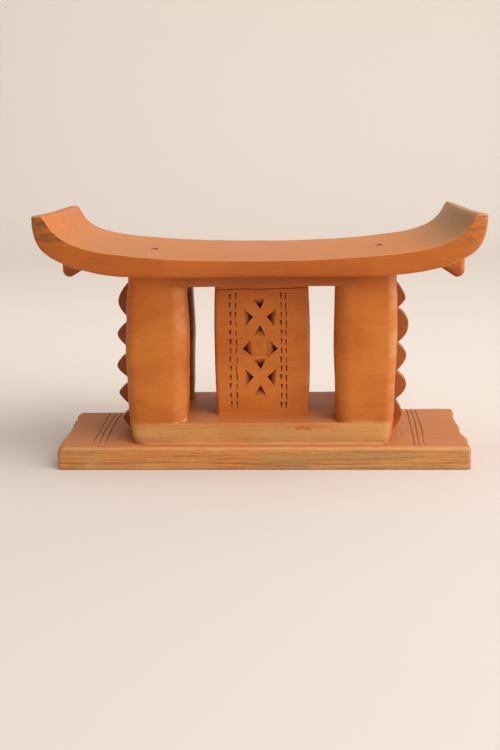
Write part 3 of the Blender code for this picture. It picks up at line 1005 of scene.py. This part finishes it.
def build_centre_column(carving, wood):
    """The middle block. Its front bears the carved pattern."""
    swell = 0.0014
    low = Vector((COLUMN_LOW.x + swell, COLUMN_LOW.y, PLINTH_HIGH.z - EMBED))
    high = Vector((COLUMN_HIGH.x - swell, COLUMN_HIGH.y, RAIL_LOW.z + EMBED))
    corner = carving.post_rounding * 0.3
    arris = 0.0006
    column = loft("centre_column_wood", block_rings(low, high, (corner,) * 4, arris, carving.spacing))
    middle_x = (low.x + high.x) / 2
    half_width = (high.x - low.x) / 2
    fillet_height = 0.003

    def rule(place, normal):
        share = min(max((place.z - low.z) / (high.z - low.z), 0.0), 1.0)
        across = (place.x - middle_x) / half_width
        foot = max(0.0, 1 - (place.z - PLINTH_HIGH.z) / fillet_height) ** 2
        place.x += (swell * sin(pi * share) + 0.0008 * foot) * across
        place.y -= 0.0006 * foot * max(0.0, -normal.y)
        return hand_work(place, normal, carving.unevenness, seed=21.0)

    reshape(column, rule)
    column.data.materials.append(carved_wood("centre_column_wood", wood))
    cut(column, ledge_cutter(wood))
    carve_column_pattern(column, carving, wood)
    finish_piece(column, "centre_column")


def ledge_cutter(wood):
    """A wandering knife line across the column's front, just under the rail."""
    stations = 30
    overrun = 0.002
    below_head = 0.0064
    rise = 0.0012
    sections = []
    for station in range(stations + 1):
        share = station / stations
        x = COLUMN_LOW.x - overrun + (COLUMN_HIGH.x - COLUMN_LOW.x + 2 * overrun) * share
        wander = 0.0010 * noise.noise(Vector((share * 5.0, 2.0, 0.0)))
        z = COLUMN_HIGH.z - below_head + wander + rise * share
        sections.append((on_column(x, z + 0.0006, -0.001), on_column(x, z - 0.0007, -0.001),
                         on_column(x, z + 0.0001, 0.0010)))
    return strip_cutter(sections, cut_wood("column_ledge", wood.groove))


def fret_edge(side_name):
    """The scalloped edge of a fret, bottom to top: five blunt lobes, none quite like the next."""
    steps = 9
    blunt = 0.08
    root_reach = FRET_ROOT_REACH[side_name]
    roots = FRET_ROOTS[side_name]
    points = []
    for foot, head, (tip, reach, bluntness) in zip(roots, roots[1:], FRET_LOBES[side_name]):
        for start, end in ((foot, tip), (tip, head)):
            for step in range(steps):
                share = step / steps
                from_tip = 1 - share if end == tip else share
                fall = ((from_tip ** 2 + blunt ** 2) ** 0.5 - blunt) ** bluntness
                points.append(Vector((reach - (reach - root_reach) * min(fall, 1.0),
                                      BASE_HIGH.z + start + (end - start) * share)))
    points.append(Vector((root_reach, BASE_HIGH.z + roots[-1])))
    return points


def build_end_frets(carving, wood):
    """Upright scalloped fins at the two ends, halfway between the front and back posts."""
    rounding = 0.0012
    for side_name, side in (("left", -1), ("right", 1)):
        node = "end_fret_" + side_name
        low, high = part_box(node)
        inner = min(abs(low.x), abs(high.x))
        foot = low.z - EMBED
        head = high.z + EMBED
        edge = [point for point in fret_edge(side_name) if foot < point.y < head]
        outline = ([Vector((inner, foot)), Vector((edge[0].x, foot))] + edge
                   + [Vector((edge[-1].x, head)), Vector((inner, head))])
        fret = plate(node + "_wood", outline, low.y, high.y, rounding, side)
        reshape(fret, lambda place, normal: hand_work(place, normal, carving.unevenness, seed=31.0))
        sharpen(fret)
        finish_piece(fret, node, carved_wood(node + "_wood", wood))


def plate(name, outline, low_y, high_y, rounding, side):
    """An upright plate with the given outline (x, z) and softened edges, mirrored for the left side."""
    flat_steps = 4
    if outline_area(outline) < 0:
        outline = outline[::-1]
    turns = [pi / 2 * step / ROUNDING_STEPS for step in range(ROUNDING_STEPS)]
    near = [(low_y + rounding * (1 - cos(turn)), rounding * (1 - sin(turn))) for turn in turns]
    flat = high_y - low_y - 2 * rounding
    body = [(low_y + rounding + flat * step / flat_steps, 0.0) for step in range(flat_steps + 1)]
    far = [(high_y - (y - low_y), inset) for y, inset in reversed(near)]
    rings = []
    for y, inset in near + body + far:
        rings.append([Vector((side * point.x, y, point.y)) for point in inset_outline(outline, inset)])
    return loft(name, rings)


def outline_area(outline):
    """The area inside an outline, below zero for a clockwise one."""
    return sum(a.x * b.y - b.x * a.y for a, b in zip(outline, outline[1:] + outline[:1])) / 2


def inset_outline(outline, inset):
    """Move every corner of an anticlockwise outline inwards."""
    result = []
    count = len(outline)
    for index, point in enumerate(outline):
        into = (point - outline[index - 1]).normalized()
        out = (outline[(index + 1) % count] - point).normalized()
        along = into + out
        along = along.normalized() if along.length > 0.2 else out
        result.append(point + Vector((-along.y, along.x)) * inset)
    return result


def build_seat_rail(carving, wood):
    """The slab between the posts' heads and the seat, with a wavering lower edge."""
    set_back = 0.00012
    narrowing = 0.0012
    low = Vector((RAIL_LOW.x + narrowing, RAIL_LOW.y + set_back, RAIL_LOW.z))
    high = Vector((RAIL_HIGH.x - narrowing, RAIL_HIGH.y - set_back, SEAT_LOW.z + EMBED))
    corner = carving.post_rounding * 0.9
    arris = 0.0010
    rail = loft("seat_rail_wood", block_rings(low, high, (corner,) * 4, arris, carving.spacing))
    waver = 0.0009
    waver_length = 0.045

    def rule(place, normal):
        worked = hand_work(place, normal, carving.unevenness * 0.6, seed=41.0)
        hill = noise.noise(Vector((place.x / waver_length, 7.0, 0.0)))
        worked.z += waver * hill * max(0.0, -normal.z)
        return worked

    reshape(rail, rule)
    finish_piece(rail, "seat_rail", carved_wood("seat_rail_wood", wood))


def seat_line(shares, count):
    """One long edge of the seat's outline, from the left tip to the right tip, at even distances."""
    curve_steps = 12
    height = SEAT_HIGH.z - SEAT_LOW.z
    right = [Vector((point.x * SEAT_HIGH.x, SEAT_LOW.z + point.y * height))
             for point in curve_through(shares, curve_steps)]
    left = [Vector((-point.x, point.y)) for point in right[:0:-1]]
    return evenly_along(left + right, count)


def seat_point(bottom, top, y, w):
    """A point of the seat: y is its depth and w its share of the way from the underside to the top.

    The tips are thinner and lower at the back, and the ends are hollow and closer together there. All of
    this differs between the left and the right.
    """
    on_right = bottom.x > 0
    back = (y - SEAT_LOW.y) / (SEAT_HIGH.y - SEAT_LOW.y)
    tip_start = 0.62
    tip = max(0.0, (abs(bottom.x) / SEAT_HIGH.x - tip_start) / (1 - tip_start)) ** 2
    thinning = (0.72 if on_right else 0.20) * back ** 2 * tip
    point = bottom.lerp(top, thinning + (1 - thinning) * w)
    hollow = 0.004 * (1 - (2 * back - 1) ** 2)
    if on_right:
        set_in = 0.0080 * back + 0.0002
        sink = (0.0014 * back + 0.0012) * tip
    else:
        set_in = 0.0046 * back - 0.0012
        sink = 0.0037 * back * tip
    shrink = 1 - (hollow + set_in) / SEAT_HIGH.x
    lean = 0.0034 * max(0.0, 1 - w) ** 1.5
    front_lean = lean * max(0.0, 1 - 4 * back)
    back_lean = lean * max(0.0, 4 * back - 3)
    off_centre = 0.0013
    return Vector((point.x * shrink - off_centre, y + front_lean - back_lean, point.y - sink))


def seat_ring(bottom, top, counts, inset=0.0):
    """One cross-section of the seat, with a larger radius along its lower edges than along its upper."""
    thickness = (top - bottom).length
    upper = min(0.0012, thickness * 0.25)
    lower = min(0.0036, thickness * 0.35)
    plan = plan_loop((SEAT_LOW.y + inset, inset), (SEAT_HIGH.y - inset, thickness - inset),
                     (upper, upper, lower, lower), counts)
    return [seat_point(bottom, top, point.x, point.y / thickness) for point in plan]


def build_seat(carving, wood):
    """The curved seat, with hollowed ends and two small notches in its top."""
    stations = 200
    side_steps = 6
    counts = (round((SEAT_HIGH.y - SEAT_LOW.y) / carving.spacing), side_steps)
    bottom = seat_line(SEAT_UNDERSIDE, stations)
    top = seat_line(SEAT_TOP, stations)
    rings = [seat_ring(*points, counts) for points in zip(bottom, top)]
    rings[0], left_cap = seat_tip(bottom, top, 0, 1, counts)
    rings[-1], right_cap = seat_tip(bottom, top, -1, -2, counts)
    rings = left_cap[::-1] + rings + right_cap
    size = len(rings[0])
    faces = loft_faces(len(rings), size)
    for start in (0, (len(rings) - 1) * size):
        faces += tip_faces(start, size, counts)
    seat = new_piece("seat_wood", [point for ring in rings for point in ring], faces)

    def rule(place, normal):
        worked = hand_work(place, normal, carving.unevenness * 1.6, seed=51.0)
        worked.y = min(max(worked.y, SEAT_LOW.y), SEAT_HIGH.y)
        return worked

    reshape(seat, rule)
    seat.data.materials.append(carved_wood("seat_wood", wood))
    notch_wood = cut_wood("seat_notch", wood.notch)
    for centre, width, depth in SEAT_NOTCHES:
        cut(seat, notch_cutter(seat, Vector(centre), width, depth, notch_wood))
    finish_piece(seat, "seat")


def seat_tip(bottom, top, index, following, counts):
    """The last ring before a tip's end face, and the two rings that round off the arris between them."""
    arris = 0.0010
    outward = (bottom[index] - bottom[following]).normalized() * arris
    edge = seat_ring(bottom[index] - outward, top[index] - outward, counts)
    end = seat_ring(bottom[index], top[index], counts, arris)
    between = [first * 0.3 + second * 0.7 for first, second in zip(edge, end)]
    return edge, [between, end]


def tip_faces(start, size, counts):
    """Close a tip with faces between the ring's upper and lower halves."""
    along, upwards = counts
    lower_end = 3 * (CORNER_STEPS + 1) + 2 * (along - 1) + (upwards - 1) + CORNER_STEPS
    upper_end = 2 * (CORNER_STEPS + 1) + along - 2
    faces = []
    for index in range(upper_end):
        opposite = lower_end - index
        faces.append((start + index, start + index + 1, start + opposite - 1, start + opposite))
    faces.append(tuple(start + index for index in range(upper_end, lower_end - upper_end + 1)))
    faces.append((*(start + index for index in range(lower_end, size)), start))
    return faces


def notch_cutter(seat, centre, width, depth, material):
    """A triangular notch in the seat's top."""
    well_above = 0.3
    found, place, _, _ = seat.ray_cast(Vector((*centre, well_above)), Vector((0, 0, -1)))
    if not found:
        raise RuntimeError("the seat has no top under its notch")

    def on_seat(u, v, down):
        return (u, v, place.z - down)

    builder = bmesh.new()
    flat = centre + Vector((-0.001, width / 2))
    point = centre + Vector((0.002, -width / 2))
    add_wedge(builder, on_seat, flat, point, width, depth)
    return cutter_from(builder, material)


def build_lugs(carving, wood):
    """Tongues under the seat's two ends: a slanting lower edge and a rounded nose."""
    nose_radius = 0.0060
    nose_steps = 14
    rounding = 0.0042
    nose_turns = [-0.62 * pi * step / nose_steps for step in range(nose_steps + 1)]
    for side_name, side, outer, lowest in LUGS:
        node = "lug_" + side_name
        low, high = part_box(node)
        inner = min(abs(low.x), abs(high.x))
        centre = Vector((outer - nose_radius, lowest + nose_radius))
        nose = [centre + nose_radius * Vector((cos(turn), sin(turn))) for turn in nose_turns]
        inner_end = [(inner + 0.004, lowest + 0.0085), (inner, 0.1735), (inner + 0.006, 0.1765)]
        hidden_top = [(outer - 0.006, 0.1835)]
        outline = [Vector((outer, 0.1875))] + nose + [Vector(point) for point in inner_end + hidden_top]
        lug = plate(node + "_wood", outline, low.y, high.y, rounding, side)
        reshape(lug, lambda place, normal: hand_work(place, normal, carving.unevenness, seed=61.0))
        finish_piece(lug, node, carved_wood(node + "_wood", wood))


def build_stage(stage):
    """A plain pale floor that runs up into a backdrop, soft light and the camera."""
    build_floor(stage)
    build_lights(stage)
    build_camera()
    bpy.context.scene.view_settings.view_transform = "Standard"


def build_floor(stage):
    """A floor with a curved sweep up into the backdrop."""
    reach = 3.0
    back = 1.3
    sweep = 0.5
    sweep_steps = 16
    turns = [pi / 2 * step / sweep_steps for step in range(1, sweep_steps + 1)]
    profile = [(-reach, 0.0), (back, 0.0)]
    profile += [(back + sweep * sin(turn), sweep * (1 - cos(turn))) for turn in turns]
    profile.append((back + sweep, reach))
    points = [(side * reach, y, z) for side in (-1, 1) for y, z in profile]
    size = len(profile)
    faces = [(index, index + 1, size + index + 1, size + index) for index in range(size - 1)]
    mesh = bpy.data.meshes.new("floor")
    mesh.from_pydata(points, [], faces)
    mesh.shade_smooth()
    floor = bpy.data.objects.new("floor", mesh)
    bpy.context.scene.collection.objects.link(floor)
    graph = FinishGraph("floor")
    graph.finish("ShaderNodeBsdfPrincipled",
                 {"Base Color": tuple(stage.floor), "Roughness": 0.9, "IOR": 1.3})
    mesh.materials.append(graph.material)


def add_area_light(name, place, target, size, power, colour):
    """A square light, size metres wide, that faces its target."""
    light = bpy.data.lights.new(name, "AREA")
    light.shape = "SQUARE"
    light.size = size
    light.energy = power
    light.color = colour
    lamp = bpy.data.objects.new(name, light)
    lamp.location = place
    lamp.rotation_euler = (Vector(target) - Vector(place)).to_track_quat("-Z", "Y").to_euler()
    bpy.context.scene.collection.objects.link(lamp)


def build_lights(stage):
    """A soft light at the right, one overhead, one on the backdrop and even light from all round."""
    warm = (1.0, 0.97, 0.93)
    add_area_light("key", (1.45, -0.88, 1.48), (0.0, 0.0, 0.10), 2.6, stage.key_power, warm)
    add_area_light("backdrop", (-0.60, 0.55, 1.10), (-0.35, 1.8, 0.45), 1.6, stage.backdrop_power, warm)
    add_area_light("overhead", (0.10, -0.10, 2.00), (0.0, 0.0, 0.0), 1.8, stage.top_power,
                   (1.0, 0.98, 0.96))
    world = bpy.data.worlds.new("studio")
    world.use_nodes = True
    background = world.node_tree.nodes["Background"]
    background.inputs["Color"].default_value = (1.0, 0.97, 0.94, 1.0)
    background.inputs["Strength"].default_value = stage.fill
    bpy.context.scene.world = world


def build_camera():
    """A short telephoto a metre in front of the headrest and a little above it."""
    camera_data = bpy.data.cameras.new("camera")
    camera_data.sensor_width = 36.0
    camera_data.lens = 57.6
    camera = bpy.data.objects.new("camera", camera_data)
    bpy.context.scene.collection.objects.link(camera)
    place = Matrix.Translation((0.0270, -1.0326, 0.3069))
    turn = Matrix.Rotation(radians(2.202), 4, "Z")
    tilt = Matrix.Rotation(radians(90 - 13.031), 4, "X")
    roll = Matrix.Rotation(radians(-0.696), 4, "Z")
    camera.matrix_world = place @ turn @ tilt @ roll
    bpy.context.scene.camera = camera


class HEADREST_OT_stage(bpy.types.Operator):
    """Set up the floor, the backdrop, the light and the camera"""

    bl_idname = "headrest.stage"
    bl_label = "Stage"

    def execute(self, context):
        build_stage(context.scene.headrest_stage)
        return {"FINISHED"}


class HEADREST_OT_base_board(bpy.types.Operator):
    """Carve the base board"""

    bl_idname = "headrest.base_board"
    bl_label = "Base board"

    def execute(self, context):
        build_base_board(context.scene.headrest_carving, context.scene.headrest_wood)
        return {"FINISHED"}


class HEADREST_OT_plinth(bpy.types.Operator):
    """Carve the plinth"""

    bl_idname = "headrest.plinth"
    bl_label = "Plinth"

    def execute(self, context):
        build_plinth(context.scene.headrest_carving, context.scene.headrest_wood)
        return {"FINISHED"}


class HEADREST_OT_posts(bpy.types.Operator):
    """Carve the four corner posts"""

    bl_idname = "headrest.posts"
    bl_label = "Posts"

    def execute(self, context):
        build_posts(context.scene.headrest_carving, context.scene.headrest_wood)
        return {"FINISHED"}


class HEADREST_OT_centre_column(bpy.types.Operator):
    """Carve the centre column and its pattern"""

    bl_idname = "headrest.centre_column"
    bl_label = "Centre column"

    def execute(self, context):
        build_centre_column(context.scene.headrest_carving, context.scene.headrest_wood)
        return {"FINISHED"}


class HEADREST_OT_end_frets(bpy.types.Operator):
    """Carve the scalloped frets at both ends"""

    bl_idname = "headrest.end_frets"
    bl_label = "End frets"

    def execute(self, context):
        build_end_frets(context.scene.headrest_carving, context.scene.headrest_wood)
        return {"FINISHED"}


class HEADREST_OT_seat_rail(bpy.types.Operator):
    """Carve the rail under the seat"""

    bl_idname = "headrest.seat_rail"
    bl_label = "Seat rail"

    def execute(self, context):
        build_seat_rail(context.scene.headrest_carving, context.scene.headrest_wood)
        return {"FINISHED"}


class HEADREST_OT_seat(bpy.types.Operator):
    """Carve the curved seat"""

    bl_idname = "headrest.seat"
    bl_label = "Seat"

    def execute(self, context):
        build_seat(context.scene.headrest_carving, context.scene.headrest_wood)
        return {"FINISHED"}


class HEADREST_OT_lugs(bpy.types.Operator):
    """Carve the tongues under the seat's ends"""

    bl_idname = "headrest.lugs"
    bl_label = "Lugs"

    def execute(self, context):
        build_lugs(context.scene.headrest_carving, context.scene.headrest_wood)
        return {"FINISHED"}


OPERATORS = (HEADREST_OT_stage, HEADREST_OT_base_board, HEADREST_OT_plinth, HEADREST_OT_posts,
                   HEADREST_OT_centre_column, HEADREST_OT_end_frets, HEADREST_OT_seat_rail,
                   HEADREST_OT_seat, HEADREST_OT_lugs)


class HEADREST_PT_carving(bpy.types.Panel):
    """Lists the sizes and colours, and a button for each piece"""

    bl_idname = "HEADREST_PT_carving"
    bl_label = "Carved Headrest"
    bl_space_type = "VIEW_3D"
    bl_region_type = "UI"
    bl_category = "Headrest"

    def draw(self, context):
        for settings in (context.scene.headrest_carving, context.scene.headrest_wood,
                         context.scene.headrest_stage):
            box = self.layout.box()
            for name in settings.__annotations__:
                box.prop(settings, name)
        for operator in OPERATORS:
            self.layout.operator(operator.bl_idname)


CLASSES = (HeadrestCarving, HeadrestWood, HeadrestStage, *OPERATORS, HEADREST_PT_carving)


def register():
    """Add the classes to Blender and their settings to the scene."""
    for cls in CLASSES:
        bpy.utils.register_class(cls)
    bpy.types.Scene.headrest_carving = PointerProperty(type=HeadrestCarving)
    bpy.types.Scene.headrest_wood = PointerProperty(type=HeadrestWood)
    bpy.types.Scene.headrest_stage = PointerProperty(type=HeadrestStage)


def unregister():
    """Undo register."""
    del bpy.types.Scene.headrest_stage
    del bpy.types.Scene.headrest_wood
    del bpy.types.Scene.headrest_carving
    for cls in reversed(CLASSES):
        bpy.utils.unregister_class(cls)


def main():
    """Set up the stage and carve every piece."""
    register()
    for operator in OPERATORS:
        group, name = operator.bl_idname.split(".")
        getattr(getattr(bpy.ops, group), name)()


if __name__ == "__main__":
    main()
